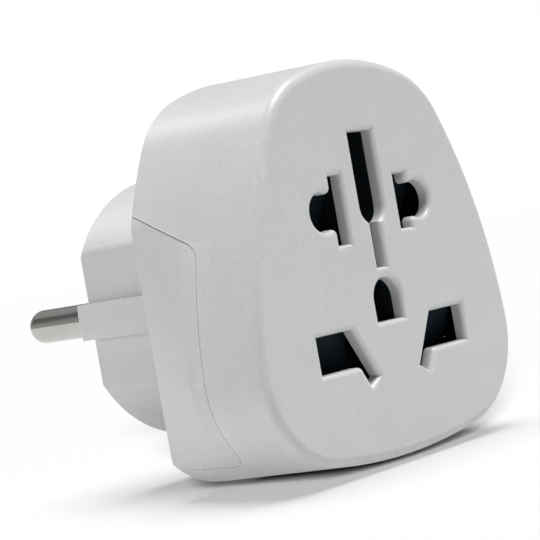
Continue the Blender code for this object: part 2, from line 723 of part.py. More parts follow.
def build_earth_contacts():
    """Earth strip down the middle with three forks in front and the two side clips behind."""
    clip_rivets = {"top": CLIP_RIVET_HEIGHT, "bottom": 2 * PLUG_Z - CLIP_RIVET_HEIGHT}
    strip = add_object("earth_strip", [box(-2.0, 2.0, *STRIP_LAYER, -23.0, 5.6)], BRASS)
    places = [(0.0, z) for z in [*EARTH_RIVETS.values(), *clip_rivets.values()]]
    drill(strip, "earth_strip_holes", places, RIVET_HOLE_R, 16.0, 19.0)

    rear = BASE_LAYER[1]
    forks = {"uk": (2.5, 1.9, -1.3, 8.9), "au": (1.5, 0.75, -8.2, -2.9), "us": (2.6, 2.2, -14.4, -10.2)}
    for kind, (half_gap, pinch, z0, z1) in forks.items():
        section = clip_profile(half_gap, pinch, rear, LEAF_FRONT)
        fork = add_object(f"{kind}_earth_contact", [prism_z(section, z0, z1)], BRONZE)
        places = [(0.0, z) for z in (EARTH_RIVETS[kind], clip_rivets["top"]) if z0 < z < z1]
        drill(fork, f"{kind}_earth_hole", places, RIVET_HOLE_R, 15.0, 18.0)

    half_t = CLIP_T / 2
    bend = 16.7
    spring_path = [(24.5, bend), (28.0, 17.5), (33.5, 17.5), (37.4, 16.6)]
    for place, side in (("top", 1), ("bottom", -1)):
        outer = [(CLIP_FOOT_Y - half_t, CLIP_FOOT_HEIGHT), (CLIP_FOOT_Y - half_t, bend + half_t)]
        outer += [(y, height + half_t) for y, height in spring_path]
        inner = [(y, height - half_t) for y, height in reversed(spring_path)]
        inner += [(CLIP_FOOT_Y + half_t, bend - half_t), (CLIP_FOOT_Y + half_t, CLIP_FOOT_HEIGHT)]
        section = [(y, earth_clip_z(side, height)) for y, height in outer + inner]
        clip = add_object(f"earth_clip_{place}", [prism_x(section, -CLIP_HALF, CLIP_HALF)], NICKEL)
        drill(clip, f"earth_clip_{place}_hole", [(0.0, clip_rivets[place])], RIVET_HOLE_R, 17.0, 20.0)


def add_rivet(name, x, z, front, rear):
    """Rivet along y: a shank with a domed head at each end; front and rear are the heads' seats."""
    profile = [
        (RIVET_HEAD_R - 0.5, front - 0.55),
        (RIVET_HEAD_R, front - 0.25),
        (RIVET_HEAD_R, front),
        (RIVET_R, front),
        (RIVET_R, rear),
        (RIVET_HEAD_R, rear),
        (RIVET_HEAD_R, rear + 0.25),
        (RIVET_HEAD_R - 0.5, rear + 0.55),
    ]
    add_object(name, [turned(profile, 10, x, z)], BRASS, at=(x, front, z))


def build_rivets():
    seat = 0.15
    front = BASE_LAYER[0] - seat
    rear = STRIP_LAYER[1] + seat
    for pole, side in (("neutral", -1), ("live", 1)):
        add_rivet(f"{pole}_upper_rivet", side * UPPER_RIVET[0], UPPER_RIVET[1], front, rear)
        add_rivet(f"{pole}_lower_rivet", side * LOWER_RIVET[0], LOWER_RIVET[1], front, rear)
    for kind, z in EARTH_RIVETS.items():
        add_rivet(f"{kind}_earth_rivet", 0.0, z, front, rear)
    clip_rear = CLIP_FOOT_REAR + seat
    add_rivet("clip_rivet_top", 0.0, CLIP_RIVET_HEIGHT, front, clip_rear)
    low = 2 * PLUG_Z - CLIP_RIVET_HEIGHT
    add_rivet("clip_rivet_bottom", 0.0, low, STRIP_LAYER[0] - seat, clip_rear)


build_front_housing()
build_rear_housing()
build_screws()
build_contact_carrier()
build_upper_shutters()
build_lower_shutter()
build_springs()
build_pins()
build_line_contacts()
build_earth_contacts()
build_rivets()

lowest = min(z for _, z in housing_outline(FLARE * (1 - RIM_CHAMFER / BODY_DEPTH)))
origin.location = (0.0, -(PLUG_END + PIN_LENGTH) / 2 * MM, -lowest * MM)
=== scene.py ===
"""Looks of the universal travel adapter: fine meshes, materials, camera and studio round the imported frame.

Lengths are millimetres in the adapter's own frame: x to the right seen from the socket side, y from the
socket face towards the plug, z up from the line through the round socket holes.
"""

import math

import bmesh
import bpy
from mathutils import Matrix, Vector


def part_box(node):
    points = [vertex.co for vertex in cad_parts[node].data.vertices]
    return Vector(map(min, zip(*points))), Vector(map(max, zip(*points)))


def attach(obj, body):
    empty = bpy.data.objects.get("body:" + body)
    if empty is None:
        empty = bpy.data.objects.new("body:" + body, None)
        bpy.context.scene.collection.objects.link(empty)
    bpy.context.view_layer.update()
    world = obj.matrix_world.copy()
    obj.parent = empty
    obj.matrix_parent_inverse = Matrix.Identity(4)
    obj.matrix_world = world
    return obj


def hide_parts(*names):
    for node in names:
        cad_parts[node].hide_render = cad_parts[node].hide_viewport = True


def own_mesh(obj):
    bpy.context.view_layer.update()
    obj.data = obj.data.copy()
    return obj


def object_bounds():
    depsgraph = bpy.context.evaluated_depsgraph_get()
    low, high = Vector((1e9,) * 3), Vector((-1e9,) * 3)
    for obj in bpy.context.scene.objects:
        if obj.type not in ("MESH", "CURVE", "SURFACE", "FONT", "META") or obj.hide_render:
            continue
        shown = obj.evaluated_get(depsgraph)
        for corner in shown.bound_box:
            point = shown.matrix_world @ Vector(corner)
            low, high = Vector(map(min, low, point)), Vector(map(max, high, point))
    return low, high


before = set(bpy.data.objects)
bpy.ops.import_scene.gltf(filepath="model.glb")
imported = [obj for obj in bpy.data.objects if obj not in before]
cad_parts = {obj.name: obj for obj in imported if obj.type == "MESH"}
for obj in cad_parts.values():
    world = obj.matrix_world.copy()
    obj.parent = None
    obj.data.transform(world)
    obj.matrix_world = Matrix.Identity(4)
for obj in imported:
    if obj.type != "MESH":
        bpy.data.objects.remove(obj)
cad_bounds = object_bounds()

MM = 0.001

# ---------------------------------------------------------------- places, read from the frame

PIN_DROP = 8.7           # the plug pins' axis lies this far below the round holes' line
pin_low, pin_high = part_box("live_pin")
neutral_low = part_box("neutral_pin")[0]
ORIGIN = Vector((
    (neutral_low.x + pin_high.x) / 2,
    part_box("front_housing")[0].y,
    (pin_low.z + pin_high.z) / 2 + PIN_DROP * MM,
))


def local_box(node):
    """Lowest and highest corner of a CAD node in millimetres in the adapter's own frame."""
    return [(corner - ORIGIN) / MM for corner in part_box(node)]


BODY_DEPTH = local_box("front_housing")[1].y
PLUG_END = local_box("rear_housing")[1].y
PIN_LOW, PIN_HIGH = local_box("live_pin")
PIN_X = (PIN_LOW.x + PIN_HIGH.x) / 2
PIN_TIP = PIN_HIGH.y
PLUG_Z = -PIN_DROP
SCREWS = {}
for place in ("top", "left", "right"):
    low, high = local_box(f"housing_screw_{place}")
    SCREWS[place] = ((low.x + high.x) / 2, (low.z + high.z) / 2)
SCREW_LOW, SCREW_HIGH = local_box("housing_screw_top")

# ---------------------------------------------------------------- sizes

# Housing outline: tangent arcs from the top, (radius, degrees turned); the bottom arc closes it.
OUTLINE_TOP = 18.8
OUTLINE_ARCS = [(31.0, 20.5), (11.9, 41.4), (67.7, 25.7), (12.5, 82.9)]
OUTLINE_STEP = 0.7       # longest straight piece of the outline
FLARE = 1.0              # the outline grows this much from face to rim
EDGE_R = 1.2             # rounding of the face edge
EDGE_STEPS = 8
RIM_R = 0.4              # rounding of the rear rim
RIM_STEPS = 3
SIDE_STEPS = 4
WALL = 1.8
OUTSIDE = 40.0           # a distance beyond the whole housing, for cutters
PAST = 1.0               # how far cutters run past a surface, and joined solids into it

# Side cheeks of the rear housing, seen from the side in y and z
CHEEK_FRONT = 9.5
CHEEK_TOP_FRONT = -1.65
CHEEK_TOP_REAR = 4.35
CHEEK_BOTTOM = -28.9
CHEEK_TOP_CORNER_R = 2.8
CHEEK_BOTTOM_CORNER_R = 2.6
FACET_FRONT = 11.9       # behind this line the cheeks taper
FACET_BLEND = 0.45       # length over which the taper starts
FACET_STEPS = 3
LAST_RING = 4.0          # the cheeks' last ring lies this far in front of the rim's rounding
CHEEK_HALF_REAR = 22.2   # half width of the cheeks at the rear rim
SEAM_TOP = 0.12          # visible gap between the two shells
SEAM_FRONT = 0.07
SEAM_BOTTOM = 0.03
SEAM_EDGE = 0.14         # rounding of the front shell along the seam
CHEEK_EDGE = 0.24        # rounding of the cheeks along the seam
SEAM_HALF_MIN = 12.0     # the seam lies further out than this on both sides
SEAM_WALL_NORMAL = 0.02  # the window's walls face along x by less than this
SEAM_SKIN_NORMAL = 0.1   # the outer skin faces along x by more than this

# Rear plate and plug
PLATE_FRONT = 19.3
PLATE_REAR = 21.1
PLATE_GAP = 0.1          # between the rear plate and the front shell's wall
PLATE_EDGE = 0.25        # bevel round the rear plate
HOLLOW_REAR = PLATE_FRONT + 0.2                  # the cheeks' hollow ends inside the plate
PLUG_R = 18.1
PLUG_FLAT = 15.85        # the flats' distance from the plug's axis
PLUG_ROOT = PLATE_REAR - 0.9                     # the plug starts inside the plate
RIB_WIDTH = 4.8
PLUG_WALL = 1.9
PLUG_END_WALL = 2.0
PLUG_EDGE_R = 0.35
PLUG_EDGE_STEPS = 5
PLUG_ROOM_HALF = 14.3    # half height of the space inside the plug
PLUG_ROOM_POINTS = 64    # points round that space
SLEEVE_R = 4.1           # sleeves that hold the pins inside the plug
SLEEVE_FRONT = 29.0
PIN_R = 2.4
PIN_PLAY = 0.12
PIN_MOUTH = 0.25         # depth of the bevel round each pin in the plug's end
PIN_TIP_R = 1.9          # rounding of the pins' ends
PIN_TIP_STEPS = 10
PIN_NECK_R = 1.4
PIN_NECK_FRONT = 16.95
PIN_COLLAR_R = 3.0
PIN_COLLAR_FRONT = 18.35
PIN_COLLAR_REAR = 19.6
RIVETED_END_R = 2.1
RIVETED_END_FRONT = 16.3
RIVETED_END_EDGE = 0.3

# Socket openings
EARTH_HALF = 2.32
EARTH_TOP = 9.55
BLADE_EARTH_HALF = 0.93
BLADE_EARTH_TOP = -1.0   # inside the earth slot
BLADE_EARTH_BOTTOM = -7.95
ROUND_X = 9.5
ROUND_R = 2.43
JOIN_R = 0.8             # rounded corners where a round hole runs into its blade slot
BLADE_INNER = 5.28
BLADE_OUTER = 7.54
TALL_BLADE_HALF = 4.37
SHORT_BLADE_HALF = 3.57
ARCH_HALF = 2.65
ARCH_CENTRE = -11.95
ARCH_BOTTOM = -14.78
BAR_OUTER = 14.8
BAR_INNER = 8.0
BAR_TOP = -14.8
BAR_BOTTOM = -19.53
TAIL_TIP = -21.2
TAIL_WIDTH = 1.95
TAIL_SLANT = math.radians(30)
TAIL_KNEE_R = 0.8
MOUTH_R = 0.7            # rounding of the openings' front edges
MOUTH_STEPS = 7
OPENING_REAR = WALL + 0.2

# Screws
BOSS_R = 2.9
BOSS_FRONT = 1.0         # inside the face's wall
BOSS_REAR = 18.0
BOSS_EDGE = 0.3
PILOT_R = 1.45
PILOT_FRONT = 6.0
SCREW_R = 1.2
SCREW_TIP_R = 0.15
SCREW_POINT = [(0.8, 1.3), (1.0, 2.2)]           # share of the radius, distance from the tip
SCREW_HEAD_R = 2.6
SCREW_HEAD_SEAT = 19.7
SCREW_HEAD_EDGE = (0.9, 0.55)                    # half axes of the head's rounding, inwards and along y
CROSS_DEPTH = 0.9
CROSS_ABOVE = 0.1        # the cutter of the cross runs this far past the head
CROSS_REACH = (0.9, 1.5)                         # half length of the arms at the floor and at the top
CROSS_HALF = 0.32        # half width of the arms at the top
CROSS_TAPER = 0.6        # width at the floor as a share of that at the top
SEAT_R = 3.4             # round pads in the plate around each screw
SEAT_FRONT = 18.4
SEAT_REAR = PLATE_FRONT + 1.1                    # inside the plate
PLUG_ROOM_FRONT = SEAT_FRONT - 0.4
SHANK_HOLE_FRONT = SEAT_FRONT - 0.9
SHANK_HOLE_R = 1.6
HEAD_RECESS_R = 3.0
HEAD_RECESS_FLOOR = 19.4
HEAD_RECESS_EDGE = (0.4, 0.2)                    # half width and half depth of the bevel round it

# Earth clips; heights are from the plug's axis
CLIP_HALF = 2.1
CLIP_T = 0.7
CLIP_FOOT_Y = 18.7
CLIP_FOOT_HEIGHT = 10.9
CLIP_BEND_HEIGHT = 16.7
CLIP_BEND_R = 0.8
CLIP_BOW = [(24.5, CLIP_BEND_HEIGHT, 4.0), (28.0, 17.5, 5.0), (33.5, 17.5, 4.0)]     # y, height, radius
CLIP_END = (37.4, 16.6, 0.0)
CLIP_BED_HALF = 2.9      # the bed is a trough along the plug's ribs that the clip lies in
CLIP_BED_HEIGHT = 15.9
CLIP_BED_TOP = PLUG_R + 2.0
CLIP_BED_FRONT = 23.5
CLIP_SLOT_HALF = CLIP_HALF + 0.3
CLIP_SLOT_HEIGHTS = (CLIP_BED_HEIGHT + 0.15, CLIP_BED_HEIGHT + 1.45)
CLIP_SLOT_REAR = CLIP_BED_FRONT + 0.5
CLIP_HOLE_R = 1.1
CLIP_RIVET_HEIGHT = 12.7

# Springs
SPRING_TURNS = 8
DEAD_TURNS = 0.7         # closed turns at each end
CLOSED_PITCH = 1.05      # pitch of the closed turns, in diameters of the wire
UPPER_WIRE_R = 0.12
LOWER_WIRE_R = 0.15
STEPS_PER_TURN = 24
WIRE_SIDES = 10

# CAD nodes that keep their shape: rounding of their edges, and how their meshes are cleaned
PLASTIC_EDGE = 0.15
METAL_EDGE = 0.06
WELD_DISTANCE = 0.002
FLAT_ANGLE = math.radians(0.5)
EDGE_ANGLE = math.radians(40)

SMOOTH_ANGLE = math.radians(35)                  # sharper edges than this stay sharp


# ---------------------------------------------------------------- mesh helpers

def shell_mesh(shells):
    """Mesh of closed shells (points, faces), placed in the row frame."""
    work = bmesh.new()
    for points, faces in shells:
        corners = [work.verts.new(ORIGIN + Vector(point) * MM) for point in points]
        for face in faces:
            work.faces.new([corners[i] for i in face])
    bmesh.ops.recalc_face_normals(work, faces=work.faces)
    mesh = bpy.data.meshes.new("shell")
    work.to_mesh(mesh)
    work.free()
    return mesh


def add_object(name, shells):
    item = bpy.data.objects.new(name, shell_mesh(shells))
    bpy.context.scene.collection.objects.link(item)
    return item


def combine(item, operation, shells):
    """Join or cut the item with each shell in turn, and keep the result as its mesh."""
    for shell in shells:
        tool = add_object("tool", [shell])
        modifier = item.modifiers.new("combine", "BOOLEAN")
        modifier.operation = operation
        modifier.solver = "EXACT"
        modifier.object = tool
        evaluated = item.evaluated_get(bpy.context.evaluated_depsgraph_get())
        result = bpy.data.meshes.new_from_object(evaluated)
        item.modifiers.clear()
        item.data = result
        bpy.data.objects.remove(tool)


def soften(item, pick, width, segments=2):
    """Round the edges for which pick(edge) is true."""
    work = bmesh.new()
    work.from_mesh(item.data)
    work.normal_update()
    edges = [edge for edge in work.edges if len(edge.link_faces) == 2 and pick(edge)]
    bmesh.ops.bevel(
        work, geom=edges, offset=width * MM, segments=segments, profile=0.5,
        affect="EDGES", clamp_overlap=True,
    )
    work.to_mesh(item.data)
    work.free()


def is_seam(edge):
    """True between the outer skin and a wall of the cheek window, which runs along x."""
    walls = [face for face in edge.link_faces if abs(face.normal.x) < SEAM_WALL_NORMAL]
    middle = (edge.verts[0].co + edge.verts[1].co) / 2
    side = 1 if middle.x > 0 else -1
    skins = [face for face in edge.link_faces if face.normal.x * side > SEAM_SKIN_NORMAL]
    return len(walls) == 1 and len(skins) == 1 and abs(middle.x) > SEAM_HALF_MIN * MM


def smooth(item, material, body, nodes):
    """Shade the finished piece, give it its material, and hang it on its body in place of CAD nodes."""
    item.data.materials.clear()
    item.data.materials.append(material)
    item.data.shade_smooth()
    item.data.set_sharp_from_angle(angle=SMOOTH_ANGLE)
    weighted = item.modifiers.new("even_shading", "WEIGHTED_NORMAL")
    weighted.keep_sharp = True
    weighted.weight = 50
    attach(item, body)
    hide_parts(*nodes)
    return item


def loft(rings):
    """Closed shell through rings of equal point count, with a flat cap at both ends."""
    count = len(rings[0])
    points = [point for ring in rings for point in ring]
    faces = [list(range(count)), list(range(len(points) - count, len(points)))]
    for base in range(0, len(points) - count, count):
        for i in range(count):
            j = (i + 1) % count
            faces.append([base + i, base + j, base + count + j, base + count + i])
    return points, faces


def prism(outline, y0, y1):
    """An (x, z) outline extruded along y."""
    return loft([[(x, y, z) for x, z in outline] for y in (y0, y1)])


def prism_x(outline, x0, x1):
    """A (y, z) outline extruded along x."""
    return loft([[(x, y, z) for y, z in outline] for x in (x0, x1)])


def box(x0, x1, y0, y1, z0, z1):
    return prism([(x0, z0), (x1, z0), (x1, z1), (x0, z1)], y0, y1)


def turned(profile, steps, x=0.0, z=0.0):
    """Solid of revolution about a line along y through (x, z); the profile is (radius, y) pairs."""
    rings = []
    for radius, y in profile:
        angles = [math.tau * k / steps for k in range(steps)]
        rings.append([(x + radius * math.cos(a), y, z + radius * math.sin(a)) for a in angles])
    return loft(rings)


def arc(cx, cz, radius, start, end, steps):
    """Points on an arc, angles in degrees from +x towards +z."""
    angles = [math.radians(start + (end - start) * k / steps) for k in range(steps + 1)]
    return [(cx + radius * math.cos(a), cz + radius * math.sin(a)) for a in angles]


def rounded(corners, steps=6):
    """Outline from (a, b, radius) corners, each replaced by an arc of that radius."""
    outline = []
    for i, (a, b, radius) in enumerate(corners):
        pa, pb, _ = corners[i - 1]
        na, nb, _ = corners[(i + 1) % len(corners)]
        if not radius:
            outline.append((a, b))
            continue
        to_prev = math.atan2(pb - b, pa - a)
        to_next = math.atan2(nb - b, na - a)
        turn = (to_next - to_prev + math.pi) % math.tau - math.pi
        reach = radius / math.tan(abs(turn) / 2)
        middle = to_prev + turn / 2
        centre_distance = radius / math.sin(abs(turn) / 2)
        ca = a + centre_distance * math.cos(middle)
        cb = b + centre_distance * math.sin(middle)
        first = math.atan2(b + reach * math.sin(to_prev) - cb, a + reach * math.cos(to_prev) - ca)
        last = math.atan2(b + reach * math.sin(to_next) - cb, a + reach * math.cos(to_next) - ca)
        sweep = (last - first + math.pi) % math.tau - math.pi
        for k in range(steps + 1):
            angle = first + sweep * k / steps
            outline.append((ca + radius * math.cos(angle), cb + radius * math.sin(angle)))
    return outline


def mirrored(outline):
    return [(-x, z) for x, z in reversed(outline)]


def grown(outline, distance):
    """The outline moved outwards by a small distance, by the mean normal at each point."""
    area = sum(a[0] * b[1] - b[0] * a[1] for a, b in zip(outline, outline[1:] + outline[:1]))
    side = 1 if area > 0 else -1
    result = []
    for i, (x, z) in enumerate(outline):
        px, pz = outline[i - 1]
        nx, nz = outline[(i + 1) % len(outline)]
        before = math.atan2(z - pz, x - px)
        after = math.atan2(nz - z, nx - x)
        half_turn = ((after - before + math.pi) % math.tau - math.pi) / 2
        normal = before + half_turn - side * math.pi / 2
        length = distance / math.cos(half_turn)
        result.append((x + length * math.cos(normal), z + length * math.sin(normal)))
    return result


def quarter(radius, steps):
    """(inset, depth) pairs down a rounded edge, from the face to the wall."""
    angles = [math.pi / 2 * k / steps for k in range(steps + 1)]
    return [(radius * (1 - math.sin(a)), radius * (1 - math.cos(a))) for a in angles]


# ---------------------------------------------------------------- shared outlines

def housing_outline(offset):
    """The housing's outline moved outwards by offset, clockwise from the top; (x, z) points."""
    half = []
    x, z, heading = 0.0, OUTLINE_TOP, 0.0
    last_turn = 180 - sum(turn for _, turn in OUTLINE_ARCS)
    for radius, turn in OUTLINE_ARCS + [(None, last_turn)]:
        end = heading + math.radians(turn)
        if radius is None:
            radius = x / math.sin(math.radians(turn))
        steps = math.ceil(radius * math.radians(turn) / OUTLINE_STEP)
        cx, cz = x - radius * math.sin(heading), z - radius * math.cos(heading)
        for k in range(steps):
            angle = heading + (end - heading) * k / steps
            reach = radius + offset
            half.append((cx + reach * math.sin(angle), cz + reach * math.cos(angle)))
        x, z, heading = cx + radius * math.sin(end), cz + radius * math.cos(end), end
    return half + [(0.0, z - offset)] + mirrored(half[1:])


def body_ring(y, inset, half_limit=None):
    """Ring of the housing's outline at depth y; half_limit draws wide points in to that half width."""
    outline = housing_outline(FLARE * y / BODY_DEPTH - inset)
    if half_limit:
        outline = [(math.copysign(min(abs(x), half_limit(abs(x))), x), z) for x, z in outline]
    return [(x, y, z) for x, z in outline]


def cheek_window(top_gap, front_gap, bottom_gap):
    """Side view of the cheek, as (y, z) points, shrunk by the gaps."""
    rear = BODY_DEPTH + PAST
    top_slope = (CHEEK_TOP_REAR - CHEEK_TOP_FRONT) / (rear - CHEEK_FRONT)
    drop = top_gap * math.hypot(1.0, top_slope)
    front = CHEEK_FRONT + front_gap
    corners = [
        (front, CHEEK_TOP_FRONT + top_slope * front_gap - drop, CHEEK_TOP_CORNER_R),
        (front, CHEEK_BOTTOM + bottom_gap, CHEEK_BOTTOM_CORNER_R),
        (rear, CHEEK_BOTTOM + bottom_gap, 0.0),
        (rear, CHEEK_TOP_REAR - drop, 0.0),
    ]
    return rounded(corners, steps=8)


def bar_with_tail():
    """Rectangular slot at +x whose inner end runs on into a slanted blade slot."""
    drop = math.tan(TAIL_SLANT)
    tip_x = BAR_INNER - drop * (BAR_TOP - TAIL_TIP)
    end_x = tip_x + TAIL_WIDTH * math.cos(TAIL_SLANT)
    end_z = TAIL_TIP - TAIL_WIDTH * math.sin(TAIL_SLANT)
    inner_corner = end_x + drop * (BAR_BOTTOM - end_z)
    corners = [
        (BAR_INNER, BAR_TOP, 0.0),
        (tip_x, TAIL_TIP, 0.0),
        (end_x, end_z, 0.0),
        (inner_corner, BAR_BOTTOM, TAIL_KNEE_R),
        (BAR_OUTER, BAR_BOTTOM, 0.0),
        (BAR_OUTER, BAR_TOP, 0.0),
    ]
    return rounded(corners)


def rectangle(x0, x1, z0, z1):
    return [(x0, z0), (x1, z0), (x1, z1), (x0, z1)]


def round_and_blade(blade_half):
    """Round hole at +x joined to an upright blade slot on its inner side."""
    join_x = BLADE_OUTER + JOIN_R
    join_z = math.sqrt((ROUND_R + JOIN_R) ** 2 - (ROUND_X - join_x) ** 2)
    join = math.degrees(math.atan2(join_z, join_x - ROUND_X))
    hole = arc(ROUND_X, 0.0, ROUND_R, -join, join, 36)
    upper_join = arc(join_x, join_z, JOIN_R, 180 + join, 180, 8)
    lower_join = arc(join_x, -join_z, JOIN_R, 180, 180 - join, 8)
    blade = [
        (BLADE_OUTER, blade_half),
        (BLADE_INNER, blade_half),
        (BLADE_INNER, -blade_half),
        (BLADE_OUTER, -blade_half),
    ]
    return hole + upper_join[1:] + blade + lower_join[:-1]


def socket_openings():
    """Outlines of the openings; the earth slot and its blade slot overlap."""
    earth = arc(0.0, 0.0, EARTH_HALF, -180, 0, 20)
    earth += [(EARTH_HALF, EARTH_TOP), (-EARTH_HALF, EARTH_TOP)]
    earth_blade = rectangle(-BLADE_EARTH_HALF, BLADE_EARTH_HALF, BLADE_EARTH_BOTTOM, BLADE_EARTH_TOP)
    arch = arc(0.0, ARCH_CENTRE, ARCH_HALF, 0, 180, 20)
    arch += [(-ARCH_HALF, ARCH_BOTTOM), (ARCH_HALF, ARCH_BOTTOM)]
    return [
        earth, earth_blade, arch, bar_with_tail(), mirrored(bar_with_tail()),
        round_and_blade(SHORT_BLADE_HALF), mirrored(round_and_blade(TALL_BLADE_HALF)),
    ]


def plug_outline(steps=30):
    """Plug section: a circle cut by two flats, each with a guide rib that reaches the circle."""
    flat_angle = math.degrees(math.acos(PLUG_FLAT / PLUG_R))
    half_rib = RIB_WIDTH / 2
    rib_angle = math.degrees(math.asin(half_rib / PLUG_R))
    outline = []
    for turn in (0, 180):
        side = 1 if turn == 0 else -1
        outline += arc(0.0, PLUG_Z, PLUG_R, turn + flat_angle, turn + 180 - flat_angle, steps)
        outline.append((-side * PLUG_FLAT, PLUG_Z + side * half_rib))
        outline += arc(0.0, PLUG_Z, PLUG_R, turn + 180 - rib_angle, turn + 180 + rib_angle, 4)
        outline.append((-side * PLUG_FLAT, PLUG_Z - side * half_rib))
    return outline


# ---------------------------------------------------------------- materials

# Noise scales, in marks per metre, and the noise values between which a mark fades in
MOTTLE_SCALE = 140.0     # cloudiness of the plastic
SPECKLE_SCALE = 2600.0   # its light and dark specks
GRAIN_SCALE = 5200.0     # its spark-eroded grain
UNEVEN_SCALE = 1500.0    # its coarser unevenness
STAIN_SCALE = 350.0      # stains on metal
LINE_SCALE = 400.0       # drawing and turning marks on metal
FIBRE_SCALE = 900.0      # fibres of the floor paper
FADE = (0.3, 0.7)
MOTTLE_FADE = (0.35, 0.65)
STAIN_FADE = (0.35, 0.7)
SPECKLE_RANGE = (0.965, 1.035)
# the painted edge highlight fades in over this range of pointiness
EDGE_HIGHLIGHT_POINTINESS = (0.505, 0.56)                  # from flat surface to a sharp outer edge
GRAIN_HEIGHT = 0.02      # millimetres, as are the next two
UNEVEN_HEIGHT = 0.035
LINE_HEIGHT = 0.004
UNEVEN_SHARE = 0.6       # strength of the unevenness as a share of the grain's
PLASTIC_VARIES = 0.05    # how far the roughness varies up and down
METAL_VARIES = (0.06, 0.08)                      # how far it varies down and up

# How the marks of drawing and turning are stretched
ALONG_X = (1.0, 14.0, 14.0)
ALONG_Z = (14.0, 14.0, 1.0)
AROUND_Y = (0.6, 22.0, 0.6)

# Base, deep and edge tones; the edge tone is a painted highlight on sharp outer edges
WHITE_TONES = [(0.59, 0.602, 0.597), (0.575, 0.587, 0.582), (0.625, 0.637, 0.632)]
CARRIER_TONES = [(0.0045, 0.0085, 0.012), (0.004, 0.0075, 0.0105), (0.009, 0.013, 0.017)]
SHUTTER_TONES = [(0.0085, 0.015, 0.021), (0.0075, 0.0135, 0.019), (0.009, 0.015, 0.021)]


class Nodes:
    """Shorthand for building a material's node tree."""

    def __init__(self, name):
        self.material = bpy.data.materials.new(name)
        self.material.use_nodes = True
        self.tree = self.material.node_tree
        self.shader = self.tree.nodes["Principled BSDF"]
        self.place = self.add("ShaderNodeTexCoord").outputs["Object"]

    def add(self, kind, **settings):
        node = self.tree.nodes.new(kind)
        for key, value in settings.items():
            setattr(node, key, value)
        return node

    def link(self, source, target):
        self.tree.links.new(source, target)

    def noise(self, scale, detail=2.0, stretch=(1.0, 1.0, 1.0)):
        """Noise with features about one over scale metres wide, stretched along the axes."""
        mapping = self.add("ShaderNodeMapping")
        mapping.inputs["Scale"].default_value = stretch
        self.link(self.place, mapping.inputs["Vector"])
        noise = self.add("ShaderNodeTexNoise")
        noise.inputs["Scale"].default_value = scale
        noise.inputs["Detail"].default_value = detail
        self.link(mapping.outputs["Vector"], noise.inputs["Vector"])
        return noise.outputs["Fac"]

    def ramp(self, source, fade, start, end):
        """The part of source between the two fade values, spread over start to end."""
        node = self.add("ShaderNodeMapRange")
        for key, value in zip(("From Min", "From Max", "To Min", "To Max"), (*fade, start, end)):
            node.inputs[key].default_value = value
        self.link(source, node.inputs["Value"])
        return node.outputs["Result"]

    def mix(self, share, first, second):
        """Colour mix; first and second are colours or sockets."""
        node = self.add("ShaderNodeMix", data_type="RGBA")
        self.link(share, node.inputs["Factor"])
        for key, value in (("A", first), ("B", second)):
            target = next(s for s in node.inputs if s.name == key and s.type == "RGBA")
            if isinstance(value, tuple):
                target.default_value = (*value, 1.0)
            else:
                self.link(value, target)
        return next(s for s in node.outputs if s.type == "RGBA")

    def scale(self, colour, factor):
        """Colour times a factor."""
        node = self.add("ShaderNodeVectorMath", operation="SCALE")
        self.link(colour, node.inputs[0])
        self.link(factor, node.inputs["Scale"])
        return node.outputs["Vector"]

    def bump(self, layers):
        """Bump from (height socket, strength, height in millimetres) layers."""
        normal = None
        for height, strength, size in layers:
            node = self.add("ShaderNodeBump")
            node.inputs["Strength"].default_value = strength
            node.inputs["Distance"].default_value = size * MM
            self.link(height, node.inputs["Height"])
            if normal:
                self.link(normal, node.inputs["Normal"])
            normal = node.outputs["Normal"]
        self.link(normal, self.shader.inputs["Normal"])

    def colour(self, socket):
        self.link(socket, self.shader.inputs["Base Color"])

    def roughness(self, socket):
        self.link(socket, self.shader.inputs["Roughness"])

    def edges(self):
        """Share of edge for the painted edge highlight: 0 on flat surface, 1 on the sharpest outer edges."""
        pointiness = self.add("ShaderNodeNewGeometry").outputs["Pointiness"]
        return self.ramp(pointiness, EDGE_HIGHLIGHT_POINTINESS, 0.0, 1.0)


def moulded_plastic(name, tones, roughness, grain, shine=0.5):
    """Satin moulding in (base, deep, edge) tones: faint mottling, spark-eroded grain, and a painted
    highlight that lightens the sharp outer edges.
    """
    base, deep, edge = tones
    nodes = Nodes(name)
    nodes.shader.inputs["Specular IOR Level"].default_value = shine
    mottle = nodes.ramp(nodes.noise(MOTTLE_SCALE, detail=3.0), MOTTLE_FADE, 0.0, 1.0)
    body = nodes.mix(mottle, base, deep)
    # painted highlight: sharp outer edges are mixed towards the lighter edge tone
    painted_edge_highlight = nodes.edges()
    speckle = nodes.ramp(nodes.noise(SPECKLE_SCALE, detail=1.0), FADE, *SPECKLE_RANGE)
    nodes.colour(nodes.scale(nodes.mix(painted_edge_highlight, body, edge), speckle))
    fine = nodes.noise(GRAIN_SCALE)
    nodes.roughness(nodes.ramp(fine, FADE, roughness - PLASTIC_VARIES, roughness + PLASTIC_VARIES))
    uneven = nodes.noise(UNEVEN_SCALE, detail=3.0)
    nodes.bump([(fine, grain, GRAIN_HEIGHT), (uneven, grain * UNEVEN_SHARE, UNEVEN_HEIGHT)])
    return nodes.material


def plated_metal(name, base, deep, roughness, stretch, marks):
    """Metal with drawn or turned marks along one axis and slight staining."""
    nodes = Nodes(name)
    nodes.shader.inputs["Metallic"].default_value = 1.0
    stain = nodes.ramp(nodes.noise(STAIN_SCALE, detail=4.0), STAIN_FADE, 0.0, 1.0)
    nodes.colour(nodes.mix(stain, base, deep))
    lines = nodes.noise(LINE_SCALE, detail=3.0, stretch=stretch)
    smoother, rougher = METAL_VARIES
    nodes.roughness(nodes.ramp(lines, FADE, roughness - smoother, roughness + rougher))
    nodes.bump([(lines, marks, LINE_HEIGHT)])
    return nodes.material


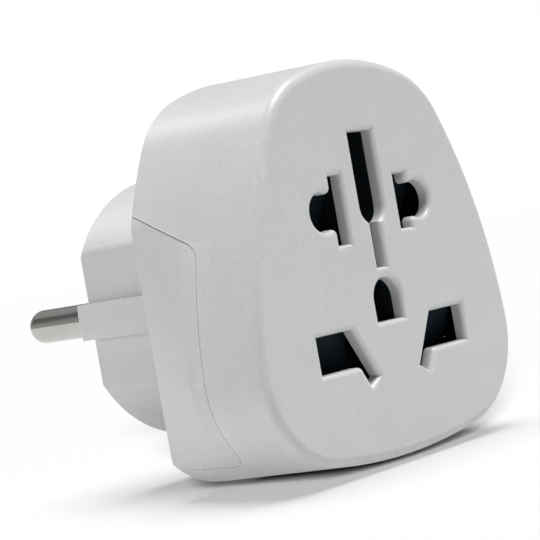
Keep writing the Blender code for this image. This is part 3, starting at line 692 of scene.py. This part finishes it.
WHITE = moulded_plastic("white_abs", WHITE_TONES, roughness=0.33, grain=1.0)
WHITE_REAR = moulded_plastic("white_abs_rear", WHITE_TONES, roughness=0.35, grain=1.0)
BLACK = moulded_plastic("black_nylon", CARRIER_TONES, roughness=0.6, grain=0.35, shine=0.15)
SHUTTER_BLACK = moulded_plastic("black_acetal", SHUTTER_TONES, roughness=0.7, grain=0.1, shine=0.06)

# Metals: base tone, stained tone, roughness, direction of the marks and their strength
NICKEL = plated_metal("nickel_plate", (0.53, 0.525, 0.50), (0.49, 0.485, 0.465), 0.14, AROUND_Y, 0.2)
CLIP_NICKEL = plated_metal("clip_nickel", (0.74, 0.73, 0.70), (0.64, 0.63, 0.60), 0.26, ALONG_X, 0.3)
ZINC = plated_metal("zinc_steel", (0.58, 0.60, 0.63), (0.44, 0.46, 0.49), 0.33, AROUND_Y, 0.4)
BRASS = plated_metal("brass", (0.76, 0.56, 0.27), (0.60, 0.42, 0.19), 0.3, ALONG_Z, 0.35)
BRONZE = plated_metal("phosphor_bronze", (0.74, 0.48, 0.30), (0.56, 0.35, 0.21), 0.32, ALONG_X, 0.35)
SPRING_STEEL = plated_metal("spring_steel", (0.56, 0.56, 0.57), (0.38, 0.38, 0.39), 0.28, ALONG_Z, 0.3)


# ---------------------------------------------------------------- housing

def build_front_casing():
    """Front shell: a hollow with a window for the cheeks, bosses for the screws, and the socket openings."""
    rings = [body_ring(depth, inset) for inset, depth in quarter(EDGE_R, EDGE_STEPS)]
    for k in range(1, SIDE_STEPS):
        rings.append(body_ring(EDGE_R + (BODY_DEPTH - EDGE_R - RIM_R) * k / SIDE_STEPS, 0.0))
    rings += [body_ring(BODY_DEPTH - depth, inset) for inset, depth in reversed(quarter(RIM_R, RIM_STEPS))]
    casing = add_object("front_casing", [loft(rings)])

    cavity = loft([body_ring(WALL, WALL), body_ring(BODY_DEPTH + PAST, WALL)])
    notch = prism_x(cheek_window(0.0, 0.0, 0.0), -OUTSIDE, OUTSIDE)
    combine(casing, "DIFFERENCE", [cavity, notch])
    soften(casing, is_seam, SEAM_EDGE)

    boss = [(BOSS_R, BOSS_FRONT), (BOSS_R, BOSS_REAR - BOSS_EDGE), (BOSS_R - BOSS_EDGE, BOSS_REAR)]
    combine(casing, "UNION", [turned(boss, 32, x, z) for x, z in SCREWS.values()])
    pilot = [(PILOT_R, PILOT_FRONT), (PILOT_R, BODY_DEPTH)]
    combine(casing, "DIFFERENCE", [turned(pilot, 24, x, z) for x, z in SCREWS.values()])

    openings = []
    for outline in socket_openings():
        flare = [(MOUTH_R, -MOUTH_R)] + quarter(MOUTH_R, MOUTH_STEPS) + [(0.0, OPENING_REAR)]
        openings.append(loft([[(x, y, z) for x, z in grown(outline, out)] for out, y in flare]))
    combine(casing, "DIFFERENCE", openings)
    return smooth(casing, WHITE, "adapter", ["front_housing"])


def cheek_ring(y, inset):
    """Ring of the cheek block: behind the facet line the wide part is drawn in towards the rear width."""
    travel = (y - FACET_FRONT) / (BODY_DEPTH - FACET_FRONT)
    blend = FACET_BLEND / (BODY_DEPTH - FACET_FRONT)
    share = max(travel, 0.0) if abs(travel) > blend else (travel + blend) ** 2 / (4 * blend)
    limit = CHEEK_HALF_REAR - inset
    return body_ring(y, inset, lambda half: half - share * max(half - limit, 0.0))


def build_rear_casing():
    """Rear shell: two hollow cheeks, the plate between them, and the plug with its bores and slots."""
    start = CHEEK_FRONT - PAST
    blend_steps = range(-FACET_STEPS, FACET_STEPS + 1)
    depths = [start] + [FACET_FRONT + FACET_BLEND * k / FACET_STEPS for k in blend_steps]
    depths += [BODY_DEPTH - RIM_R - LAST_RING, BODY_DEPTH - RIM_R]
    rings = [cheek_ring(y, 0.0) for y in depths]
    for inset, depth in reversed(quarter(RIM_R, RIM_STEPS)[:-1]):
        rings.append(cheek_ring(BODY_DEPTH - depth, inset))
    casing = add_object("rear_casing", [loft(rings)])
    window = cheek_window(SEAM_TOP, SEAM_FRONT, SEAM_BOTTOM)
    combine(casing, "INTERSECT", [prism_x(window, -OUTSIDE, OUTSIDE)])
    soften(casing, is_seam, CHEEK_EDGE, segments=3)

    hollow = [cheek_ring(y, WALL) for y in (start - PAST, FACET_FRONT, HOLLOW_REAR)]
    combine(casing, "DIFFERENCE", [loft(hollow)])

    plate_limit = CHEEK_HALF_REAR - WALL - PLATE_GAP
    plate_rings = []
    for inset, y in ((0.0, PLATE_FRONT), (0.0, PLATE_REAR - PLATE_EDGE), (PLATE_EDGE, PLATE_REAR)):
        plate_rings.append(body_ring(y, WALL + PLATE_GAP + inset, lambda half: min(half, plate_limit)))
    section = plug_outline()
    plug_rings = [[(x, PLUG_ROOT, z) for x, z in section]]
    for inset, depth in reversed(quarter(PLUG_EDGE_R, PLUG_EDGE_STEPS)):
        plug_rings.append([(x, PLUG_END - depth, z) for x, z in grown(section, -inset)])
    pad = [(SEAT_R, SEAT_FRONT), (SEAT_R, SEAT_REAR)]
    seats = [turned(pad, 32, x, z) for x, z in SCREWS.values()]
    combine(casing, "UNION", [loft(plate_rings), loft(plug_rings)] + seats)

    flat = PLUG_FLAT - PLUG_WALL
    steps = PLUG_ROOM_POINTS - 1
    circle = arc(0.0, 0.0, PLUG_R - PLUG_WALL, 0, 360 * steps / PLUG_ROOM_POINTS, steps)
    room = [
        (max(-flat, min(flat, x)), PLUG_Z + max(-PLUG_ROOM_HALF, min(PLUG_ROOM_HALF, z)))
        for x, z in circle
    ]
    combine(casing, "DIFFERENCE", [prism(room, PLUG_ROOM_FRONT, PLUG_END - PLUG_END_WALL)])
    sleeve = [(SLEEVE_R, SLEEVE_FRONT), (SLEEVE_R, PLUG_END - PAST)]
    combine(casing, "UNION", [turned(sleeve, 40, side * PIN_X, PLUG_Z) for side in (-1, 1)])

    bore_r = PIN_R + PIN_PLAY
    bore = [
        (bore_r, SLEEVE_FRONT - PAST),
        (bore_r, PLUG_END - PIN_MOUTH),
        (bore_r + 2 * PIN_MOUTH, PLUG_END + PIN_MOUTH),
    ]
    edge_width, edge_depth = HEAD_RECESS_EDGE
    screw_hole = [
        (SHANK_HOLE_R, SHANK_HOLE_FRONT),
        (SHANK_HOLE_R, HEAD_RECESS_FLOOR),
        (HEAD_RECESS_R, HEAD_RECESS_FLOOR),
        (HEAD_RECESS_R, PLATE_REAR - edge_depth),
        (HEAD_RECESS_R + edge_width, PLATE_REAR + edge_depth),
    ]
    cuts = [turned(screw_hole, 40, x, z) for x, z in SCREWS.values()]
    for side in (-1, 1):
        cuts.append(turned(bore, 48, side * PIN_X, PLUG_Z))
        bed = sorted(PLUG_Z + side * height for height in (CLIP_BED_HEIGHT, CLIP_BED_TOP))
        cuts.append(box(-CLIP_BED_HALF, CLIP_BED_HALF, CLIP_BED_FRONT, PLUG_END + PAST, *bed))
        slot = sorted(PLUG_Z + side * height for height in CLIP_SLOT_HEIGHTS)
        cuts.append(box(-CLIP_SLOT_HALF, CLIP_SLOT_HALF, PLUG_ROOM_FRONT, CLIP_SLOT_REAR, *slot))
    combine(casing, "DIFFERENCE", cuts)
    return smooth(casing, WHITE_REAR, "adapter", ["rear_housing"])


# ---------------------------------------------------------------- metal pieces

def build_prongs():
    """Plug pins: a riveted end, a neck through the strip, a collar and a long round-tipped pin."""
    profile = [
        (RIVETED_END_R - RIVETED_END_EDGE, RIVETED_END_FRONT),
        (RIVETED_END_R, RIVETED_END_FRONT + RIVETED_END_EDGE),
        (RIVETED_END_R, PIN_NECK_FRONT),
        (PIN_NECK_R, PIN_NECK_FRONT),
        (PIN_NECK_R, PIN_COLLAR_FRONT),
        (PIN_COLLAR_R, PIN_COLLAR_FRONT),
        (PIN_COLLAR_R, PIN_COLLAR_REAR),
        (PIN_R, PIN_COLLAR_REAR),
        (PIN_R, PLUG_END),
        (PIN_R, (PLUG_END + PIN_TIP) / 2),
    ]
    for k in range(PIN_TIP_STEPS + 1):
        angle = math.pi / 2 * k / PIN_TIP_STEPS
        radius = PIN_R - PIN_TIP_R * (1 - math.cos(angle))
        profile.append((radius, PIN_TIP - PIN_TIP_R * (1 - math.sin(angle))))
    for pole, side in (("neutral", -1), ("live", 1)):
        prong = add_object(f"{pole}_prong", [turned(profile, 64, side * PIN_X, PLUG_Z)])
        smooth(prong, NICKEL, "adapter", [f"{pole}_pin"])


def build_screw_details():
    """Screws with a cross recess in a pan head."""
    crown = SCREW_HIGH.y
    inwards, upwards = SCREW_HEAD_EDGE
    edge = crown - upwards
    profile = [(SCREW_TIP_R, SCREW_LOW.y)]
    profile += [(SCREW_R * share, SCREW_LOW.y + length) for share, length in SCREW_POINT]
    profile += [(SCREW_R, SCREW_HEAD_SEAT), (SCREW_HEAD_R, SCREW_HEAD_SEAT), (SCREW_HEAD_R, edge)]
    for k in range(1, 6):
        angle = math.radians(15 * k)
        profile.append((SCREW_HEAD_R - inwards * (1 - math.cos(angle)), edge + upwards * math.sin(angle)))
    levels = (
        (CROSS_REACH[0], CROSS_HALF * CROSS_TAPER, crown - CROSS_DEPTH),
        (CROSS_REACH[1], CROSS_HALF, crown + CROSS_ABOVE),
    )
    for place, (x, z) in SCREWS.items():
        screw = add_object(f"cross_screw_{place}", [turned(profile, 40, x, z)])
        arms = []
        for across, along in ((1, 0), (0, 1)):
            rings = []
            for reach, half, y in levels:
                half_x = reach if across else half
                half_z = reach if along else half
                corners = rectangle(x - half_x, x + half_x, z - half_z, z + half_z)
                rings.append([(px, y, pz) for px, pz in corners])
            arms.append(loft(rings))
        combine(screw, "DIFFERENCE", arms)
        smooth(screw, ZINC, "adapter", [f"housing_screw_{place}"])


def bent_strip(path, half_t, half_width, centre=0.0):
    """Sheet strip that follows a (y, z) path with the given thickness, as a shell across x."""
    outline = []
    for side, points in ((1, path), (-1, list(reversed(path)))):
        for i, (y, z) in enumerate(points):
            py, pz = points[max(i - 1, 0)]
            ny, nz = points[min(i + 1, len(points) - 1)]
            length = math.hypot(ny - py, nz - pz)
            normal = ((nz - pz) / length, -(ny - py) / length)
            outline.append((y + half_t * normal[0], z + half_t * normal[1]))
    return prism_x(outline, centre - half_width, centre + half_width)


def build_side_clips():
    """Earth clips: a foot behind the plate, a bend out through it, and a bowed spring leaf."""
    foot = [(CLIP_FOOT_Y, CLIP_FOOT_HEIGHT, 0.0), (CLIP_FOOT_Y, CLIP_BEND_HEIGHT, CLIP_BEND_R)]
    path = rounded(foot + CLIP_BOW + [CLIP_END])
    drill = [(CLIP_HOLE_R, CLIP_FOOT_Y - PAST), (CLIP_HOLE_R, CLIP_FOOT_Y + PAST)]
    for place, side in (("top", 1), ("bottom", -1)):
        placed = [(y, PLUG_Z + side * height) for y, height in path]
        clip = add_object(f"side_clip_{place}", [bent_strip(placed, CLIP_T / 2, CLIP_HALF)])
        hole = turned(drill, 24, 0.0, PLUG_Z + side * CLIP_RIVET_HEIGHT)
        combine(clip, "DIFFERENCE", [hole])
        smooth(clip, CLIP_NICKEL, "adapter", [f"earth_clip_{place}"])


def build_coils():
    """Compression springs of coiled wire, each filling the box of a CAD spring."""
    joints = {
        "upper_spring_left": "upper_left_slide",
        "upper_spring_right": "upper_right_slide",
        "lower_spring_left": "lower_slide",
        "lower_spring_right": "lower_slide",
    }
    for node, joint in joints.items():
        low, high = local_box(node)
        wire = UPPER_WIRE_R if node.startswith("upper") else LOWER_WIRE_R
        x, y = (low.x + high.x) / 2, (low.y + high.y) / 2
        radius = (high.y - low.y) / 2 - wire
        closed_rise = 2 * CLOSED_PITCH * wire
        open_rise = high.z - low.z - 2 * wire - closed_rise
        rings = []
        for k in range(SPRING_TURNS * STEPS_PER_TURN + 1):
            turn = k / STEPS_PER_TURN
            angle = math.tau * turn
            open_share = (turn - DEAD_TURNS) / (SPRING_TURNS - 2 * DEAD_TURNS)
            closed = min(turn, DEAD_TURNS) + max(turn - SPRING_TURNS + DEAD_TURNS, 0.0)
            level = low.z + wire + closed_rise * closed / (2 * DEAD_TURNS)
            level += open_rise * min(max(open_share, 0.0), 1.0)
            ring = []
            for side in range(WIRE_SIDES):
                around = math.tau * side / WIRE_SIDES
                reach = radius + wire * math.cos(around)
                height = level + wire * math.sin(around)
                ring.append((x + reach * math.cos(angle), y + reach * math.sin(angle), height))
            rings.append(ring)
        coil = add_object(node.replace("spring", "coil"), [loft(rings)])
        smooth(coil, SPRING_STEEL, "adapter", [node])
        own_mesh(coil)


def refine_cad_nodes():
    """CAD nodes whose shape is right keep it, and get rounded edges and their material."""
    looks = {"contact_carrier": (BLACK, PLASTIC_EDGE)}
    for node in ("upper_shutter_left", "upper_shutter_right", "lower_shutter"):
        looks[node] = (SHUTTER_BLACK, PLASTIC_EDGE)
    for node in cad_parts:
        if node.endswith("_contact"):
            looks[node] = (BRONZE, METAL_EDGE)
        elif node.endswith("_strip") or "rivet" in node:
            looks[node] = (BRASS, METAL_EDGE)
    for node, (material, width) in looks.items():
        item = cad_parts[node]
        for slot in item.material_slots:
            slot.material = material
        weld = item.modifiers.new("weld", "WELD")
        weld.merge_threshold = WELD_DISTANCE * MM
        plain = item.modifiers.new("flat_faces", "DECIMATE")
        plain.decimate_type = "DISSOLVE"
        plain.angle_limit = FLAT_ANGLE
        edges = item.modifiers.new("edges", "BEVEL")
        edges.width = width * MM
        edges.segments = 2
        edges.limit_method = "ANGLE"
        edges.angle_limit = EDGE_ANGLE
        edges.use_clamp_overlap = True
        weighted = item.modifiers.new("even_shading", "WEIGHTED_NORMAL")
        weighted.keep_sharp = True


# ---------------------------------------------------------------- studio; lengths here are metres

FLOOR_HALF = 6.0
PAPER_TONES = [(0.51, 0.51, 0.51), (0.49, 0.49, 0.49)]
PAPER_ROUGHNESS = 0.9

ROOM_LIGHT = 0.14        # brightness of the white room as a light; it is seen as plain white
ROOM_SHINE = 0.4         # brightness of the room in reflections

# Suns: strength, the direction they come from, and how many degrees wide they are
TOP_LIGHT = 3.6          # ceiling light on the object
TOP_LIGHT_FROM = (0.1, -0.25, 1.0)
TOP_LIGHT_SPREAD = 28
BACK_LIGHT = 0.3         # from behind above, for the sheen on the shoulders
BACK_LIGHT_FROM = (-0.1, 0.63, 0.77)
BACK_LIGHT_SPREAD = 16
PAPER_LIGHT = 3.5        # ceiling light on the paper
PAPER_LIGHT_FROM = (0.06, -0.03, 1.0)
PAPER_LIGHT_SPREAD = 46
PAPER_FILL = 9.4         # low light on the paper from the camera's side, which reaches under the object
PAPER_FILL_FROM = (-0.78, -0.63, 0.25)
PAPER_FILL_SPREAD = 11

# Softboxes on the object: watts, and the place seen from its centre
SOFTBOX_SIZE = 0.5
RIGHT_LIGHT = 0.55
RIGHT_LIGHT_AT = Vector((0.41, -0.44, 0.03))
LEFT_LIGHT = 2.6
LEFT_LIGHT_AT = Vector((-0.55, 0.3, -0.03))

# Grey flags behind, seen in the pins only: left and right edge, and brightness
FLAGS = [(-1.25, -1.0, 0.12), (-0.7, -0.3, 0.12), (0.5, 0.85, 0.25)]
FLAG_BOTTOM = 0.3
FLAG_TOP = 3.0
FLAG_DISTANCE = 1.0

CARD_LEVEL = 0.2 * MM    # above the paper
CARD_REACH = 8.0 * MM    # past the plug's end
CARD_TONE = (0.5, 0.5, 0.5, 1.0)

# The camera stands low, to the left of the socket face, and is rolled so that the object leans.
CAMERA_AT = Vector((-166.45, -133.99, -3.26)) * MM         # from the adapter's origin
CAMERA_TURNS = (47.34, 0.70, -10.0)              # degrees to the right, downwards, and of roll
CAMERA_LENS = 112.35     # millimetres, as is the sensor
CAMERA_SENSOR = 36.0
CAMERA_CLIP = (0.01, 20.0)


def build_floor():
    """Wide sheet of white paper under the object; its grey tone is lit up to white by its own lights."""
    work = bmesh.new()
    bmesh.ops.create_grid(work, x_segments=1, y_segments=1, size=FLOOR_HALF)
    mesh = bpy.data.meshes.new("studio_floor")
    work.to_mesh(mesh)
    work.free()
    floor = bpy.data.objects.new("studio_floor", mesh)
    floor.location.z = cad_bounds[0].z
    bpy.context.scene.collection.objects.link(floor)
    nodes = Nodes("floor_paper")
    fibres = nodes.ramp(nodes.noise(FIBRE_SCALE, detail=3.0), FADE, 0.0, 1.0)
    nodes.colour(nodes.mix(fibres, *PAPER_TONES))
    nodes.shader.inputs["Roughness"].default_value = PAPER_ROUGHNESS
    nodes.shader.inputs["Specular IOR Level"].default_value = 0.0
    mesh.materials.append(nodes.material)


def add_softbox(name, at, target, strength):
    light = bpy.data.lights.new(name, "AREA")
    light.shape = "RECTANGLE"
    light.size = light.size_y = SOFTBOX_SIZE
    light.energy = strength
    item = bpy.data.objects.new(name, light)
    item.location = at
    item.rotation_euler = (target - at).to_track_quat("-Z", "Y").to_euler()
    bpy.context.scene.collection.objects.link(item)
    return item


def light_link(name, state, items):
    """Collection for light linking: INCLUDE means these pieces alone, EXCLUDE all but them."""
    link = bpy.data.collections.new(name)
    for item in items:
        link.objects.link(bpy.data.objects[item])
    for member in link.collection_objects:
        member.light_linking.link_state = state
    return link


def add_sun(name, strength, comes_from, spread):
    light = bpy.data.lights.new(name, "SUN")
    light.energy = strength
    light.angle = math.radians(spread)
    item = bpy.data.objects.new(name, light)
    item.rotation_euler = Vector(comes_from).to_track_quat("Z", "Y").to_euler()
    bpy.context.scene.collection.objects.link(item)
    return item


def build_light():
    """White room, two suns on the paper alone, two on the object but its pins, and two softboxes."""
    world = bpy.data.worlds.new("white_room")
    world.use_nodes = True
    tree = world.node_tree
    background = tree.nodes["Background"]
    rays = tree.nodes.new("ShaderNodeLightPath").outputs
    strength = None
    for kind, brightness in (("Is Glossy Ray", ROOM_SHINE), ("Is Camera Ray", 1.0)):
        step = tree.nodes.new("ShaderNodeMapRange")
        step.inputs["To Min"].default_value = ROOM_LIGHT
        step.inputs["To Max"].default_value = brightness
        if strength:
            tree.links.new(strength, step.inputs["To Min"])
        tree.links.new(rays[kind], step.inputs["Value"])
        strength = step.outputs["Result"]
    tree.links.new(strength, background.inputs["Strength"])
    background.inputs["Color"].default_value = (1.0, 1.0, 1.0, 1.0)
    bpy.context.scene.world = world

    paper_light = add_sun("paper_light", PAPER_LIGHT, PAPER_LIGHT_FROM, PAPER_LIGHT_SPREAD)
    shells_only = light_link("shells_only", "INCLUDE", ["front_casing", "rear_casing"])
    paper_light.light_linking.blocker_collection = shells_only
    paper_fill = add_sun("paper_fill", PAPER_FILL, PAPER_FILL_FROM, PAPER_FILL_SPREAD)
    paper_only = light_link("paper_only", "INCLUDE", ["studio_floor"])
    for sun in (paper_light, paper_fill):
        sun.visible_glossy = False
        sun.light_linking.receiver_collection = paper_only
    all_but_paper = light_link("all_but_paper", "EXCLUDE", ["studio_floor"])
    ceiling_light = add_sun("ceiling_light", TOP_LIGHT, TOP_LIGHT_FROM, TOP_LIGHT_SPREAD)
    back_light = add_sun("back_light", BACK_LIGHT, BACK_LIGHT_FROM, BACK_LIGHT_SPREAD)
    all_but_pins = light_link("all_but_pins", "EXCLUDE", ["studio_floor", "live_prong", "neutral_prong"])
    for sun in (ceiling_light, back_light):
        sun.light_linking.receiver_collection = all_but_pins
    centre = (cad_bounds[0] + cad_bounds[1]) / 2
    sides = (("right_softbox", RIGHT_LIGHT_AT, RIGHT_LIGHT), ("left_softbox", LEFT_LIGHT_AT, LEFT_LIGHT))
    for name, offset, power in sides:
        softbox = add_softbox(name, centre + offset, centre, power)
        softbox.visible_glossy = False
        softbox.light_linking.receiver_collection = all_but_paper


def build_flags():
    """Grey flags behind the object, which only reflections in it show."""
    for number, (left, right, brightness) in enumerate(FLAGS):
        work = bmesh.new()
        corners = rectangle(left, right, FLAG_BOTTOM, FLAG_TOP)
        work.faces.new([work.verts.new((x, FLAG_DISTANCE, z)) for x, z in corners])
        mesh = bpy.data.meshes.new("flag")
        work.to_mesh(mesh)
        work.free()
        flag = bpy.data.objects.new(f"studio_flag_{number}", mesh)
        bpy.context.scene.collection.objects.link(flag)
        nodes = Nodes("flag_cloth")
        nodes.shader.inputs["Base Color"].default_value = (0.0, 0.0, 0.0, 1.0)
        nodes.shader.inputs["Emission Color"].default_value = (1.0, 1.0, 1.0, 1.0)
        nodes.shader.inputs["Emission Strength"].default_value = brightness
        mesh.materials.append(nodes.material)
        flag.visible_camera = False
        flag.visible_diffuse = False
        flag.visible_shadow = False
        flag.visible_transmission = False


def build_card():
    """Grey card on the paper under the plug, seen by bounced light only, which it dims a little."""
    mesh = bpy.data.meshes.new("card")
    low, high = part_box("rear_housing")
    level = cad_bounds[0].z + CARD_LEVEL
    corners = rectangle(low.x, high.x, ORIGIN.y + PLATE_REAR * MM, high.y + CARD_REACH)
    mesh.from_pydata([(x, y, level) for x, y in corners], [], [(0, 1, 2, 3)])
    card = bpy.data.objects.new("studio_card", mesh)
    bpy.context.scene.collection.objects.link(card)
    nodes = Nodes("card_felt")
    nodes.shader.inputs["Base Color"].default_value = CARD_TONE
    one_sided = nodes.add("ShaderNodeMixShader")
    from_below = nodes.add("ShaderNodeNewGeometry").outputs["Backfacing"]
    clear = nodes.add("ShaderNodeBsdfTransparent").outputs["BSDF"]
    for slot, source in enumerate((from_below, nodes.shader.outputs["BSDF"], clear)):
        nodes.link(source, one_sided.inputs[slot])
    nodes.link(one_sided.outputs[0], nodes.tree.nodes["Material Output"].inputs["Surface"])
    mesh.materials.append(nodes.material)
    card.visible_camera = False
    card.visible_glossy = False
    card.visible_shadow = False


def build_camera():
    yaw, pitch, roll = (math.radians(turn) for turn in CAMERA_TURNS)
    forward = Vector((math.sin(yaw) * math.cos(pitch), math.cos(yaw) * math.cos(pitch), -math.sin(pitch)))
    right = Vector((math.cos(yaw), -math.sin(yaw), 0.0))
    up = right.cross(forward)
    tilted_right = math.cos(roll) * right + math.sin(roll) * up
    tilted_up = math.cos(roll) * up - math.sin(roll) * right
    camera = bpy.data.cameras.new("photo_camera")
    camera.lens = CAMERA_LENS
    camera.sensor_width = CAMERA_SENSOR
    camera.clip_start, camera.clip_end = CAMERA_CLIP
    item = bpy.data.objects.new("photo_camera", camera)
    axes = Matrix((tilted_right, tilted_up, -forward)).transposed().to_4x4()
    item.matrix_world = Matrix.Translation(ORIGIN + CAMERA_AT) @ axes
    bpy.context.scene.collection.objects.link(item)
    bpy.context.scene.camera = item


build_front_casing()
build_rear_casing()
build_prongs()
build_screw_details()
build_side_clips()
build_coils()
refine_cad_nodes()
build_floor()
build_light()
build_flags()
build_card()
build_camera()
bpy.context.scene.view_settings.view_transform = "Standard"
